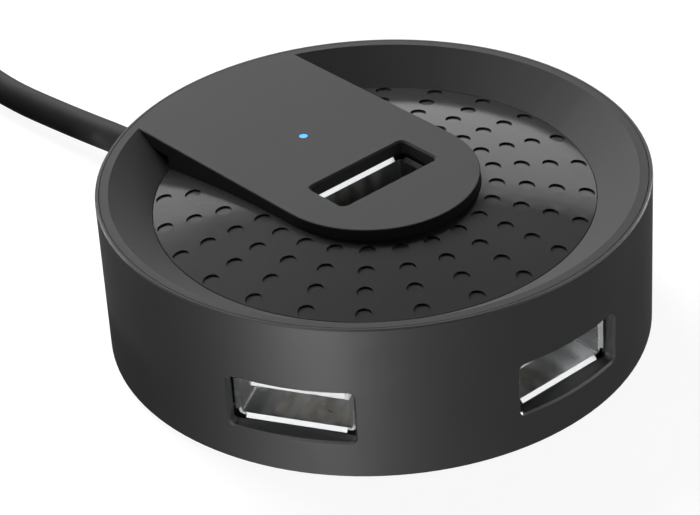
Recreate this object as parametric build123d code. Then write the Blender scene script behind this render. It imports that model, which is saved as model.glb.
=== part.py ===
from build123d import *
import os
from math import cos, degrees, hypot, pi, radians, sin, sqrt, tan

# A round four-socket USB hub. Origin at the middle of the underside, +Z up. The raised
# tongue on the lid ends towards -Y, where the front socket is, and the lead leaves at +Y.

os.makedirs("parts", exist_ok=True)

# ---- Driving dimensions, millimetres ----

# Drum
drum_radius = 31.0
drum_height = 18.8          # from the wall's lower edge to the rim
wall = 2.0
edge_bevel = 0.15           # on the wall's outer top and bottom corners
cover_clearance = 0.08      # round each cover that drops into the wall
clamp_clearance = 0.15      # under the lid's bosses, taken up by the screws

# Lid: rim, sloping bowl wall and raised tongue
lip = 0.4                   # wall left standing outside the lid's rim
lid_thickness = 2.0         # depth of the step that the rim sits in
rim_width = 0.97
bowl_width = 4.65           # from the rim's inner edge to the panel, level
bowl_depth = 3.2            # from the rim down to the panel's edge
bowl_end = 0.8              # height of the bowl wall's inner end face
skirt_clearance = 0.15      # between the lid's skirt and the drum's wall
tongue_half_width = 11.95
tongue_plate = 1.6
tongue_skirt = 1.2          # thickness of the tongue's side wall
tongue_skirt_depth = 3.8    # how far that wall hangs below the rim
tongue_edge = 0.15          # rounding along the tongue's top edge

# Dimpled panel
panel_clearance = 0.1
panel_crown = 0.8           # depth of its highest point below the rim
panel_thickness = 1.4
flange_width = 2.85
flange_thickness = 1.0
dimple_rays = 24
dimple_rings = 4
dimple_front_margin = 1.8   # from the tongue's round end to the first ring
dimple_rim_margin = 1.1     # from the last ring to the panel's edge
dimple_radius = 0.92
dimple_depth = 0.2
stake_diameter = 1.4        # pins on the lid, melted over under the flange
stake_head_diameter = 2.4
stake_head = 0.5
stake_clearance = 0.05
stake_azimuths = [-150, -90, -30, 25, 155]

# Sockets, standard A type
side_azimuths = {"left": -150, "front": -90, "right": -30}
socket_width = 13.1
socket_height = 5.72
socket_corner = 0.6
socket_depth = 13.2
sheet = 0.3                 # steel sheet of the socket and plug shells
lip_reach = 0.4             # how far the flared lips stand out in front and to the side
lip_inset = 0.6             # the lips stop this far from the inner corners
lip_gap = 0.05              # from the lips' tips to the housing
port_height = 7.62          # from the wall's lower edge to the sockets' middle
side_recess = 2.5           # from the wall's face to the sockets' mouths
top_recess = 2.05           # from the tongue's face to the middle socket's mouth
insulator_clearance = 0.04
blade_width = 11.1
blade_thickness = 1.84
blade_offset = 0.25         # underside of the blade above the socket's middle
blade_recess = 0.75
blade_bevel = 0.3
groove_start = 0.6          # the contacts' grooves stop this far behind the blade's tip
blade_root = 9.6            # from the mouth to the block that holds the blade
contact_places = [-3.5, -1.0, 1.0, 3.5]
contact_width = 1.0
contact_sheet = 0.25
contact_tip = 0.9           # behind the blade's tip
contact_tip_rise = 0.1
contact_bow_place = 3.4     # from the mouth to the leaf's lowest point
contact_bow = 0.75
contact_flat_place = 7.4
groove_clearance = 0.1
pin_width = 0.6
pin_inset = 1.3             # from the block's back face to the pins' middle
leg_width = 2.5
leg_place = 7.0             # from the mouth to the middle of the shell's legs
leg_overlap = 1.0           # the legs start this far up the shell's sides
belly_gap_width = 9.4       # cut from the shell's floor, for the pins
belly_gap_length = 2.5
finger_places = [-3.0, 3.0]
finger_width = 1.8
finger_thickness = 0.24
finger_root = 8.9           # along the socket, where the finger joins the roof
finger_dip = 4.4
finger_tip = 3.4
finger_dip_depth = 0.28
finger_tip_depth = 0.02
finger_slot_width = 2.4
finger_slot_length = 6.0
finger_slot_middle = 5.9
pin_tail = 0.9              # what sticks out under the board

# Windows in the wall and in the tongue
window_side_margin = 0.8    # from a shell's inner face to the window's edge, sideways
side_window_margin = 0.55   # the same above and below, in the wall
top_window_margin = 0.35    # the same in the tongue
window_corner = 0.6
window_bevel = 0.22
pocket_clearance = 0.4      # round the flared lips, behind the window
collar_wall = 1.0
collar_depth = 2.0

# Boards, base and fasteners
base_thickness = 1.6
base_step = 0.9             # width of the step in the wall that the base seats in
foot_diameter = 8.0
foot_thickness = 1.0
foot_proud = 0.5
foot_clearance = 0.1
foot_offset = 1.6           # the feet stand this far inside the screws
foot_edge = 0.3
board_thickness = 1.6
board_gap = 1.0             # from the board's edge to the wall
boss_radius = 2.1
boss_gap = 0.1              # from the bosses to the wall
boss_notch = 0.3            # round the bosses, in the board and the panel's flange
boss_azimuths = [-120, -60, 45, 135]
post_height = 1.5           # of the base's short posts under those bosses
screw_diameter = 2.0
screw_pilot = 1.7
screw_clearance = 0.3
screw_head_diameter = 3.6
screw_head = 1.0
screw_head_edge = 0.3
screw_slot = (2.0, 0.5, 0.6)
screw_tip_bevel = 0.5
case_screw_length = 10.0
pilot_spare = 0.5           # of the pilot past the screw's tip
board_screw_length = 4.0
board_screw_places = [(-20.5, 7.0), (20.5, 7.0), (0.0, -9.5)]
hole_clearance = 0.5        # round pins and legs, in the board

# Small parts on the board, each length, width and height
chip_body = (10.2, 5.3, 1.65)
chip_standoff = 0.1
chip_bevel = 0.2
chip_legs = 14              # on each side
chip_leg_pitch = 0.65
chip_leg_width = 0.3
chip_leg_sheet = 0.2
chip_leg_bends = [(2.5, 0.9), (3.1, 0.9), (3.3, 0.1), (3.9, 0.1)]
chip_place = (12.0, 11.5)
crystal_seat = (11.4, 4.7, 0.6)
crystal_can = (10.6, 3.9, 3.0)
crystal_edge = 0.5
crystal_place = (-12.0, 9.0)
capacitor_seat = (6.6, 6.6, 0.6)
capacitor_corner = 1.0
capacitor_diameter = 6.3
capacitor_height = 5.0
capacitor_edge = 0.4
capacitor_place = (-9.5, 19.5)
fuse_size = (4.6, 3.2, 1.0)
fuse_corner = 0.3
fuse_place = (9.5, 20.5)
ceramic_size = (2.0, 1.25, 1.0)
ceramic_corner = 0.2
ceramic_places = [(-19.5, 1.5), (19.5, 1.5), (5.8, -10.5), (-5.8, -10.5), (6.0, 7.0), (-6.0, 6.0)]
resistor_size = (1.6, 0.8, 0.5)
resistor_places = [(-3.2, 9.0), (3.2, 9.0), (5.6, 11.5), (5.6, 13.5), (5.6, 15.5), (-5.6, 13.0)]

# Light pipe over the status lamp
lamp_y = 11.8
pipe_tip_diameter = 1.0
pipe_diameter = 2.0
pipe_boss_diameter = 4.4
pipe_boss_depth = 4.0
pipe_sunk = 0.05
pipe_to_lamp = 0.25
lamp_length = 2.0
lamp_width = 1.25
lamp_height = 0.8
lamp_lens_share = 0.6       # of the lamp's length

# Lead, its coil and its plug
cable_diameter = 3.8
exit_height = 4.6
jacket_inside = 7.5         # the jacket runs on this far inside the wall's face
lead_straight = 7.0         # straight run past the gland's tip
lead_side = 1.5             # sideways from the exit to where the lead runs into the coil
lead_settling = 0.5         # still to drop at the second corner
lead_drift = 0.3            # sideways at that corner
lead_corners = [28.0, 45.0, 58.0]   # from the wall's face to the corners after the first
board_cut_width = 9.0
board_cut_gap = 4.0         # from the jacket's end to the board's cut
gland_flange_wall = 1.2     # the gland's thickness round the lead, at its flange
gland_flange = 1.1
gland_neck_wall = 0.7
gland_collar_wall = 1.5
gland_collar = 1.2
gland_length = 7.0          # outside the wall
gland_tip_wall = 0.5
gland_ribs = 3
gland_groove = 0.45
gland_groove_share = 0.4    # of the ribs' pitch
core_diameter = 1.0
core_spread = 0.62          # from the lead's middle to each core's, both ways
core_bend = 2.4             # from the jacket's end to the top of each core's arch
core_arch = 0.5
core_stagger = 0.2          # each core arches this much higher than the last
core_pads = [-3.75, -1.25, 1.25, 3.75]
core_pad_y = 17.0
tie_thickness = 0.5
tie_width = 5.0
coil_turns_across = 3       # tubes side by side in the coil's thickest place
coil_layers = 2
coil_outer_turn = 24.7      # radius of the outermost turn's middle
coil_distance = 67.0        # from the wall's face to the coil's middle
tail_radius = 22.8          # where the last turn leaves the coil
tail_run = 26.0             # from there to the plug's relief
tail_corners = [21.0, 14.0, 5.0]    # from the relief's tip
plug_side_fit = 0.5         # how much narrower the plug is than the socket's inside
plug_height_fit = 0.62
plug_shell_corner = 0.4
plug_shell_length = 12.0
plug_shell_root = 4.0       # inside the grip
plug_insulator_clearance = 0.1
plug_tray_top = 0.05        # below the plug's middle
plug_tray_recess = 0.4      # behind the shell's mouth
plug_contact_recess = 1.2
plug_window = 2.2
plug_window_places = [-3.0, 3.0]
plug_window_y = 7.5
grip_width = 15.8
grip_height = 7.8
grip_length = 22.0
grip_corner = 1.8
grip_edge = 0.7
relief_length = 8.0
relief_root_wall = 1.3      # the relief's thickness round the lead
relief_tip_wall = 0.6
relief_overlap = 1.0        # of the relief inside the grip
relief_grooves = 3
relief_groove_width = 0.9
relief_groove_start = 1.6   # from the grip to the first groove
relief_groove_pitch = 2.0
relief_groove_depth = 0.25  # at the relief's tip

# ---- Levels and places worked out from them ----

wall_bottom_z = foot_proud
top_z = wall_bottom_z + drum_height
ledge_z = top_z - lid_thickness
port_z = wall_bottom_z + port_height
board_top_z = port_z - socket_height / 2
board_z = board_top_z - board_thickness
base_top_z = wall_bottom_z + base_thickness
inner_radius = drum_radius - wall
lid_radius = drum_radius - lip - cover_clearance
bowl_top_radius = lid_radius - rim_width
bowl_radius = bowl_top_radius - bowl_width
bowl_edge_z = top_z - bowl_depth
seat_z = bowl_edge_z - bowl_end
panel_radius = bowl_radius - panel_clearance
flange_radius = panel_radius + flange_width
mouth_distance = drum_radius - side_recess
top_mouth_z = top_z - top_recess
boss_circle = inner_radius - boss_gap - boss_radius
post_top_z = base_top_z + post_height
board_radius = inner_radius - board_gap
inner_width = socket_width - 2 * sheet
inner_height = socket_height - 2 * sheet
window_width = inner_width + 2 * window_side_margin
side_window_height = inner_height + 2 * side_window_margin
top_window_height = inner_height + 2 * top_window_margin
lip_room_width = inner_width + 2 * (lip_reach + sheet + pocket_clearance)
lip_room_height = inner_height + 2 * (lip_reach + sheet + pocket_clearance)
blade_middle = blade_offset + blade_thickness / 2
leaf_level = blade_offset + contact_sheet / 2 + groove_clearance
top_socket_depth = top_mouth_z - board_top_z
side_pin_place = socket_depth - pin_inset
crown_drop = bowl_depth - panel_crown
dome_radius = (bowl_radius**2 + crown_drop**2) / (2 * crown_drop)
dome_centre_z = top_z - panel_crown - dome_radius
first_ring = tongue_half_width + dimple_front_margin
last_ring = panel_radius - dimple_rim_margin
gland_flange_diameter = cable_diameter + 2 * gland_flange_wall
gland_neck_diameter = cable_diameter + 2 * gland_neck_wall
gland_collar_diameter = cable_diameter + 2 * gland_collar_wall
gland_tip_diameter = cable_diameter + 2 * gland_tip_wall
jacket_end_y = drum_radius - jacket_inside
lying_z = tie_thickness + cable_diameter / 2
coil_middle_x = lead_side - coil_outer_turn
coil_middle_y = drum_radius + coil_distance
coil_outer_radius = coil_outer_turn + cable_diameter / 2
coil_inner_radius = coil_outer_radius - coil_turns_across * cable_diameter
coil_height = coil_layers * cable_diameter
coil_top_z = tie_thickness + coil_height
plug_shell_width = inner_width - plug_side_fit
plug_shell_height = inner_height - plug_height_fit
relief_root_diameter = cable_diameter + 2 * relief_root_wall
relief_tip_diameter = cable_diameter + 2 * relief_tip_wall
plug_x = coil_middle_x - tail_radius
plug_length = plug_shell_length + grip_length + relief_length
plug_tip_y = coil_middle_y - tail_run
plug_mouth_y = plug_tip_y - plug_length
plug_z = grip_height / 2


# ---- Small shapes used by several pieces ----


def rod(diameter, low, high):
    """A round bar on the Z axis between two levels."""
    return Pos(0, 0, low) * Cylinder(
        diameter / 2, high - low, align=(Align.CENTER, Align.CENTER, Align.MIN)
    )


def slab(width, depth, low, high):
    """A rectangular block centred on the Z axis between two levels."""
    return Pos(0, 0, low) * Box(
        width, depth, high - low, align=(Align.CENTER, Align.CENTER, Align.MIN)
    )


def chip(size, low=0.0):
    """A rectangular block of a given length, width and height that stands on a level."""
    length, width, height = size
    return slab(length, width, low, low + height)


def bar_along_y(profile, start, end):
    """A profile drawn across X and Z, drawn out along Y between two places."""
    return extrude(Plane.XZ.offset(-end) * profile, end - start)


def strip(points, width, thickness):
    """A bent strip of sheet metal whose middle line, in Y and Z, runs through the points."""
    return extrude(Plane.YZ * trace(Polyline(*points), thickness), width / 2, both=True)


def ring_places(radius, azimuths):
    """Places on a circle about the Z axis, one for each azimuth in degrees."""
    return [(radius * cos(radians(a)), radius * sin(radians(a))) for a in azimuths]


def side_place(azimuth):
    """Turns and moves a socket drawn with its mouth on y = 0, facing -Y, into the wall."""
    return Rot(0, 0, azimuth + 90) * Pos(0, -mouth_distance, port_z)


def top_place():
    """The same for the middle socket, which faces up and has its blade towards -Y."""
    return Pos(0, 0, top_mouth_z) * Rot(0, 0, 180) * Rot(-90, 0, 0)


def tongue_outline(grown):
    """The tongue's outline, round at the front and open-ended past the drum at the back."""
    half = tongue_half_width + grown
    back = Pos(0, drum_radius / 2) * Rectangle(2 * half, drum_radius)
    return Circle(half) + back


def write(name, piece):
    """Writes one piece, or a group of equal pieces, as its own STEP file."""
    piece.label = name
    export_step(piece, f"parts/{name}.step")


# ---- Housing ----


def side_window():
    """The cutter for one side window, with the pocket behind it for the flared lips."""
    hole = bar_along_y(
        RectangleRounded(window_width, side_window_height, window_corner), -wall - side_recess, wall
    )
    pocket = bar_along_y(Rectangle(lip_room_width, lip_room_height), -lip_reach - lip_gap, wall)
    return hole + pocket


def outer_shell():
    """The drum's side wall, stepped inside at the top for the lid and below for the base."""
    base_radius = inner_radius + base_step
    ledge_radius = drum_radius - lip
    profile = Polygon(
        (base_radius, wall_bottom_z),
        (drum_radius, wall_bottom_z),
        (drum_radius, top_z),
        (ledge_radius, top_z),
        (ledge_radius, ledge_z),
        (inner_radius, ledge_z),
        (inner_radius, base_top_z),
        (base_radius, base_top_z),
        align=None,
    )
    shell = revolve(Plane.XZ * profile, Axis.Z)
    rims = [
        e
        for e in shell.edges().filter_by(GeomType.CIRCLE)
        if abs(e.radius - drum_radius) < 1e-3
    ]
    shell = chamfer(rims, edge_bevel)
    for azimuth in side_azimuths.values():
        shell -= side_place(azimuth) * side_window()
    low, high = port_z - side_window_height, port_z + side_window_height
    mouths = [
        e
        for e in shell.edges()
        if low < e.center().Z < high
        and abs(hypot(e.center().X, e.center().Y) - drum_radius) < drum_radius * 0.03
        and abs(hypot((e @ 0).X, (e @ 0).Y) - drum_radius) < 1e-3
        and abs(hypot((e @ 1).X, (e @ 1).Y) - drum_radius) < 1e-3
    ]
    shell = chamfer(mouths, window_bevel)
    lead_hole = Pos(0, 0, exit_height) * bar_along_y(
        Circle(gland_neck_diameter / 2), inner_radius / 2, drum_radius + wall
    )
    return shell - lead_hole


def lid_ring():
    """The lid's rim and bowl wall, with the skirt that centres it in the drum."""
    skirt_radius = inner_radius - skirt_clearance
    profile = Polygon(
        (bowl_radius, seat_z),
        (skirt_radius, seat_z),
        (skirt_radius, ledge_z),
        (lid_radius, ledge_z),
        (lid_radius, top_z),
        (bowl_top_radius, top_z),
        (bowl_radius, bowl_edge_z),
        align=None,
    )
    return revolve(Plane.XZ * profile, Axis.Z)


def tongue():
    """The raised tongue: a flat plate flush with the rim, with a wall hanging round its edge."""
    plate = extrude(Pos(0, 0, top_z - tongue_plate) * tongue_outline(0), tongue_plate)
    rounded = plate.faces().sort_by(Axis.Z)[-1].edges().sort_by(Axis.Y)[:-1]
    plate = fillet(rounded, tongue_edge)
    band = tongue_outline(0) - tongue_outline(-tongue_skirt)
    hanging = tongue_skirt_depth - tongue_plate
    skirt = extrude(Pos(0, 0, top_z - tongue_skirt_depth) * band, hanging)
    bound = rod(2 * lid_radius, 0, top_z) - rod(2 * bowl_radius, 0, top_z - tongue_plate)
    inside = rod(2 * bowl_radius, 0, top_z)
    return (plate & (bound + inside)) + (skirt & inside)


def lid_boss(place):
    """A long boss under the lid for one case screw, with its pilot hole."""
    low = post_top_z + clamp_clearance
    body = rod(2 * boss_radius, low, seat_z)
    pilot = rod(screw_pilot, low, base_top_z + case_screw_length + pilot_spare)
    return Pos(*place, 0) * body, Pos(*place, 0) * pilot


def stake(place):
    """A pin under the lid that holds the panel, its head melted flat under the flange."""
    head_top = seat_z - flange_thickness
    pin = rod(stake_diameter, head_top, seat_z)
    head = rod(stake_head_diameter, head_top - stake_head, head_top)
    return Pos(*place, 0) * (pin + head)


def top_cover():
    """The lid: rim, bowl wall, tongue, the middle socket's window and the light pipe's boss."""
    lid = lid_ring() + tongue()
    under_plate = top_z - tongue_plate
    low = under_plate - collar_depth
    collar = slab(
        lip_room_width + 2 * collar_wall, lip_room_height + 2 * collar_wall, low, under_plate
    )
    lid += collar - slab(lip_room_width, lip_room_height, low, under_plate)
    lid += Pos(0, lamp_y, 0) * rod(
        pipe_boss_diameter, under_plate - pipe_boss_depth, under_plate
    )
    for place in ring_places(boss_circle, boss_azimuths):
        body, pilot = lid_boss(place)
        lid = lid + body - pilot
    for place in ring_places(stake_circle(), stake_azimuths):
        lid += stake(place)
    window = RectangleRounded(window_width, top_window_height, window_corner)
    lid -= extrude(Pos(0, 0, under_plate) * window, tongue_plate)
    mouth = [
        e
        for e in lid.faces().filter_by(Axis.Z).sort_by(Axis.Z)[-1].edges()
        if abs(e.center().X) <= window_width / 2 + 0.01
        and abs(e.center().Y) <= top_window_height / 2 + 0.01
    ]
    lid = chamfer(mouth, window_bevel)
    lid -= Pos(0, lamp_y, 0) * rod(pipe_diameter, under_plate - pipe_boss_depth, under_plate)
    return lid - Pos(0, lamp_y, 0) * rod(pipe_tip_diameter, under_plate, top_z)


def stake_circle():
    """Radius of the circle that the stakes stand on, in the middle of the flange."""
    return (panel_radius + flange_radius) / 2


def dome_z(radius):
    """Level of the panel's crowned face at a distance from the middle."""
    return dome_centre_z + sqrt(dome_radius**2 - radius**2)


def dimpled_panel():
    """The crowned glossy panel, cut away for the tongue, with rays of round dimples."""
    dome = Pos(0, 0, dome_centre_z) * Sphere(dome_radius)
    hollow = Pos(0, 0, dome_centre_z) * Sphere(dome_radius - panel_thickness)
    low = seat_z - flange_thickness
    disc = rod(2 * panel_radius, low, top_z) & dome
    hollow_bound = rod(2 * (panel_radius - panel_thickness), low, top_z)
    panel = disc - (hollow & hollow_bound) + (rod(2 * flange_radius, low, seat_z) - rod(
        2 * (panel_radius - panel_thickness), low, seat_z
    ))
    panel -= extrude(Pos(0, 0, low) * tongue_outline(panel_clearance), top_z - low)
    notch = rod(2 * (boss_radius + boss_notch), low, seat_z)
    for place in ring_places(boss_circle, boss_azimuths):
        panel -= Pos(*place, 0) * notch
    for place in ring_places(stake_circle(), stake_azimuths):
        panel -= Pos(*place, 0) * rod(stake_diameter + 2 * stake_clearance, low, seat_z)
    return panel - dimples()


def dimples():
    """The pits in the panel, on rays from the drum's middle, with none under the tongue."""
    pits = []
    pitch = (last_ring - first_ring) / (dimple_rings - 1)
    for ring in range(dimple_rings):
        radius = first_ring + ring * pitch
        tilt = degrees(radius / dome_radius)
        pit = Rot(0, tilt, 0) * Cylinder(dimple_radius, 2 * dimple_depth)
        for ray in range(dimple_rays):
            angle = -90 + ray * 360 / dimple_rays
            x, y = ring_places(radius, [angle])[0]
            if y < 0 or abs(x) > tongue_half_width + panel_clearance + dimple_radius:
                pits.append(Rot(0, 0, angle) * Pos(radius, 0, dome_z(radius)) * pit)
    return pits


def foot_places():
    """Where the rubber feet stand, over the case screws' heads."""
    return ring_places(boss_circle - foot_offset, boss_azimuths)


def base_cover():
    """The flat base that closes the drum, with posts for the case screws and the board."""
    base = rod(2 * (inner_radius + base_step - cover_clearance), wall_bottom_z, base_top_z)
    recess_top = wall_bottom_z + foot_thickness - foot_proud
    for place in ring_places(boss_circle, boss_azimuths):
        base += Pos(*place, 0) * rod(2 * boss_radius, base_top_z, post_top_z)
    for place in board_screw_places:
        base += Pos(*place, 0) * rod(2 * boss_radius, base_top_z, board_z)
    for place in foot_places():
        base -= Pos(*place, 0) * rod(foot_diameter + 2 * foot_clearance, wall_bottom_z, recess_top)
    head_hole = screw_head_diameter + screw_clearance
    for place in ring_places(boss_circle, boss_azimuths):
        base -= Pos(*place, 0) * rod(head_hole, wall_bottom_z, base_top_z)
        base -= Pos(*place, 0) * rod(screw_diameter + screw_clearance, base_top_z, post_top_z)
    for place in board_screw_places:
        base -= Pos(*place, 0) * rod(screw_pilot, board_top_z - board_screw_length, board_z)
    flange_room = Pos(0, 0, exit_height) * bar_along_y(
        Circle(gland_flange_diameter / 2 + foot_clearance), jacket_end_y, drum_radius
    )
    return base - flange_room


# ---- Sockets ----


def flared_lip(length, edge):
    """One lip of a socket's mouth, bent outwards at 45 degrees, drawn below the opening."""
    back = sheet / sqrt(2)
    root = 2 * back - sheet
    section = Polygon(
        (0, -edge),
        (-lip_reach, -edge - lip_reach),
        (-lip_reach + back, -edge - lip_reach - back),
        (root, -edge - sheet),
        (root, -edge),
        align=None,
    )
    return extrude(Plane.YZ * section, length / 2, both=True)


def roof_finger():
    """A sprung finger pressed inwards from the shell's roof, held at its back end."""
    level = (socket_height - sheet) / 2
    bends = [
        (finger_root, level),
        (finger_dip, level - finger_dip_depth),
        (finger_tip, level - finger_tip_depth),
    ]
    return strip(bends, finger_width, finger_thickness)


def socket_shell(depth, upright):
    """The folded steel shell of a socket, with flared lips, sprung fingers and solder legs."""
    outer = RectangleRounded(socket_width, socket_height, socket_corner)
    inner = RectangleRounded(inner_width, inner_height, socket_corner - sheet)
    shell = bar_along_y(outer, 0, depth) - bar_along_y(inner, 0, depth)
    level_lip = flared_lip(inner_width - 2 * lip_inset, inner_height / 2)
    side_lip = flared_lip(inner_height - 2 * lip_inset, inner_width / 2)
    shell += level_lip + Rot(0, 180, 0) * level_lip
    shell += Rot(0, 90, 0) * side_lip + Rot(0, -90, 0) * side_lip
    slot = Box(finger_slot_width, finger_slot_length, 2 * sheet)
    for x in finger_places:
        opening = Pos(x, finger_slot_middle, inner_height / 2 + sheet / 2) * slot
        shell = shell - opening + Pos(x, 0, 0) * roof_finger()
    leg_length = board_thickness + pin_tail + leg_overlap
    for side in (-1, 1):
        x = side * (socket_width - sheet) / 2
        if upright:
            leg = Box(sheet, leg_length, leg_width, align=(Align.CENTER, Align.MIN, Align.CENTER))
            shell += Pos(x, depth - leg_overlap, 0) * leg
        else:
            leg = Box(sheet, leg_width, leg_length, align=(Align.CENTER, Align.CENTER, Align.MAX))
            shell += Pos(x, leg_place, -socket_height / 2 + leg_overlap) * leg
    if not upright:
        gap = Box(belly_gap_width, 2 * belly_gap_length, 4 * sheet)
        shell -= Pos(0, depth, -socket_height / 2) * gap
    return shell


def contact(depth, upright):
    """One sprung contact: a leaf bowed below the blade, and its solder pin."""
    leaf = strip(
        [
            (blade_recess + contact_tip, leaf_level + contact_tip_rise),
            (contact_bow_place, leaf_level - contact_bow),
            (contact_flat_place, leaf_level),
            (depth - pin_inset, leaf_level),
        ],
        contact_width,
        contact_sheet,
    )
    reach = board_thickness + pin_tail
    if upright:
        pin = strip(
            [(depth - pin_inset, leaf_level), (depth + reach, leaf_level)], pin_width, contact_sheet
        )
    else:
        pin = strip(
            [
                (depth - pin_inset, leaf_level + contact_sheet / 2),
                (depth - pin_inset, -socket_height / 2 - reach),
            ],
            pin_width,
            contact_sheet,
        )
    return leaf + pin


def socket_contacts(depth, upright):
    """The socket's four contacts."""
    one = contact(depth, upright)
    return [Pos(x, 0, 0) * one for x in contact_places]


def socket_insulator(depth, upright):
    """The moulded block at the back of a socket with the blade that carries the contacts."""
    grow = 2 * insulator_clearance
    block = bar_along_y(
        RectangleRounded(inner_width - grow, inner_height - grow, socket_corner - sheet),
        blade_root,
        depth,
    )
    blade = Pos(0, 0, blade_middle) * bar_along_y(
        Rectangle(blade_width, blade_thickness), blade_recess, blade_root
    )
    tip = blade.faces().sort_by(Axis.Y)[0].edges()
    blade = chamfer(tip, blade_bevel)
    body = block + blade
    groove_low = blade_offset
    groove_high = leaf_level + contact_sheet / 2 + groove_clearance
    groove = Pos(0, 0, (groove_low + groove_high) / 2) * bar_along_y(
        Rectangle(contact_width + 2 * groove_clearance, groove_high - groove_low),
        blade_recess + groove_start,
        blade_root,
    )
    for x in contact_places:
        body -= Pos(x, 0, 0) * groove
    for piece in socket_contacts(depth, upright):
        body -= piece
    return body


# ---- Board and what is soldered to it ----


def on_board(x, y, piece):
    """Stands a piece drawn on z = 0 on the board's upper face."""
    return Pos(x, y, board_top_z) * piece


def main_board():
    """The round board, notched for the lid's bosses and cut back for the lead."""
    board = rod(2 * board_radius, board_z, board_top_z)
    for place in ring_places(boss_circle, boss_azimuths):
        board -= Pos(*place, 0) * rod(2 * (boss_radius + boss_notch), board_z, board_top_z)
    cut_y = jacket_end_y - board_cut_gap
    lead_cut = slab(board_cut_width, 2 * (drum_radius - cut_y), board_z, board_top_z)
    board -= Pos(0, drum_radius, 0) * lead_cut
    for place in board_screw_places:
        board -= Pos(*place, 0) * rod(screw_diameter + screw_clearance, board_z, board_top_z)
    pin_hole = rod(pin_width + hole_clearance, board_z, board_top_z)
    leg_x = (socket_width - sheet) / 2
    slot_width, slot_length = sheet + hole_clearance, leg_width + hole_clearance
    slot = slab(slot_width, slot_length, board_z, board_top_z)
    for azimuth in side_azimuths.values():
        turn = Rot(0, 0, azimuth + 90)
        for x in contact_places:
            board -= turn * Pos(x, side_pin_place - mouth_distance, 0) * pin_hole
        for x in (-leg_x, leg_x):
            board -= turn * Pos(x, leg_place - mouth_distance, 0) * slot
    for x in contact_places:
        board -= Pos(x, -leaf_level, 0) * pin_hole
    for x in (-leg_x, leg_x):
        board -= Pos(x, 0, 0) * slot
    return board


def hub_chip():
    """The controller in a 28-lead package."""
    body = chip(chip_body, chip_standoff)
    body = chamfer(body.edges().filter_by(GeomType.LINE).group_by(Axis.Z)[-1], chip_bevel)
    leg = strip(chip_leg_bends, chip_leg_width, chip_leg_sheet)
    for i in range(chip_legs):
        x = (i - (chip_legs - 1) / 2) * chip_leg_pitch
        body += Pos(x, 0, 0) * leg + Pos(x, 0, 0) * Rot(0, 0, 180) * leg
    return on_board(*chip_place, Rot(0, 0, 90) * body)


def crystal():
    """The low metal can of the crystal on its seat."""
    length, width, height = crystal_can
    can = extrude(Pos(0, 0, crystal_seat[2]) * SlotOverall(length, width), height)
    can = fillet(can.faces().sort_by(Axis.Z)[-1].edges(), crystal_edge)
    return on_board(*crystal_place, Rot(0, 0, 90) * (chip(crystal_seat) + can))


def bulk_capacitor():
    """The round aluminium capacitor on its square seat."""
    seat_top = capacitor_seat[2]
    seat = chamfer(chip(capacitor_seat).edges().filter_by(Axis.Z)[:2], capacitor_corner)
    can = rod(capacitor_diameter, seat_top, seat_top + capacitor_height)
    can = fillet(can.faces().sort_by(Axis.Z)[-1].edges(), capacitor_edge)
    return on_board(*capacitor_place, seat + can)


def supply_fuse():
    """The flat resettable fuse in the supply line."""
    fuse = fillet(chip(fuse_size).edges().filter_by(Axis.Z), fuse_corner)
    return on_board(*fuse_place, fuse)


def ceramic_capacitors():
    """Small ceramic capacitors beside the sockets and the controller."""
    one = fillet(chip(ceramic_size).edges().filter_by(Axis.Z), ceramic_corner)
    return [on_board(*place, one) for place in ceramic_places]


def chip_resistors():
    """Small resistors on the data and lamp lines."""
    return [on_board(*place, chip(resistor_size)) for place in resistor_places]


def status_lamp():
    """The small lamp under the light pipe."""
    seat = slab(lamp_length, lamp_width, 0, lamp_height / 2)
    lens = slab(lamp_length * lamp_lens_share, lamp_width, lamp_height / 2, lamp_height)
    return on_board(0, lamp_y, seat + lens)


def light_pipe():
    """The clear rod that carries the lamp's light up to the tongue."""
    shoulder = top_z - tongue_plate
    low = board_top_z + lamp_height + pipe_to_lamp
    body = rod(pipe_diameter, low, shoulder)
    tip = rod(pipe_tip_diameter, shoulder, top_z - pipe_sunk)
    return Pos(0, lamp_y, 0) * (body + tip)


# ---- Fasteners and feet ----


def screw(length):
    """A small cross-head screw standing on its tip side up: head below z = 0, shank above."""
    head = rod(screw_head_diameter, -screw_head, 0)
    head = fillet(head.faces().sort_by(Axis.Z)[0].edges(), screw_head_edge)
    slot = chip(screw_slot, -screw_head)
    head = head - slot - Rot(0, 0, 90) * slot
    shank = rod(screw_diameter, 0, length)
    shank = chamfer(shank.faces().sort_by(Axis.Z)[-1].edges(), screw_tip_bevel)
    return head + shank


def case_screws():
    """The screws that go up through the base into the lid's bosses."""
    one = Pos(0, 0, base_top_z) * screw(case_screw_length)
    return [Pos(*place, 0) * one for place in ring_places(boss_circle, boss_azimuths)]


def board_screws():
    """The screws that hold the board down on the base's posts."""
    one = Pos(0, 0, board_top_z) * Rot(180, 0, 0) * screw(board_screw_length)
    return [Pos(*place, 0) * one for place in board_screw_places]


def rubber_feet():
    """Four soft round feet in the base's recesses."""
    foot = rod(foot_diameter, 0, foot_thickness)
    foot = fillet(foot.faces().sort_by(Axis.Z)[0].edges(), foot_edge)
    return [Pos(*place, 0) * foot for place in foot_places()]


# ---- Lead ----

lead_points = [
    (0.0, jacket_end_y, exit_height),
    (0.0, drum_radius + gland_length + lead_straight, exit_height),
    (lead_drift, drum_radius + lead_corners[0], lying_z + lead_settling),
    (lead_side, drum_radius + lead_corners[1], lying_z),
    (lead_side, drum_radius + lead_corners[2], lying_z),
]
tail_points = [
    (plug_x, plug_tip_y + tail_corners[0], lying_z + cable_diameter),
    (plug_x, plug_tip_y + tail_corners[1], lying_z + cable_diameter),
    (plug_x, plug_tip_y + tail_corners[2], plug_z),
    (plug_x, plug_tip_y, plug_z),
]


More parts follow.
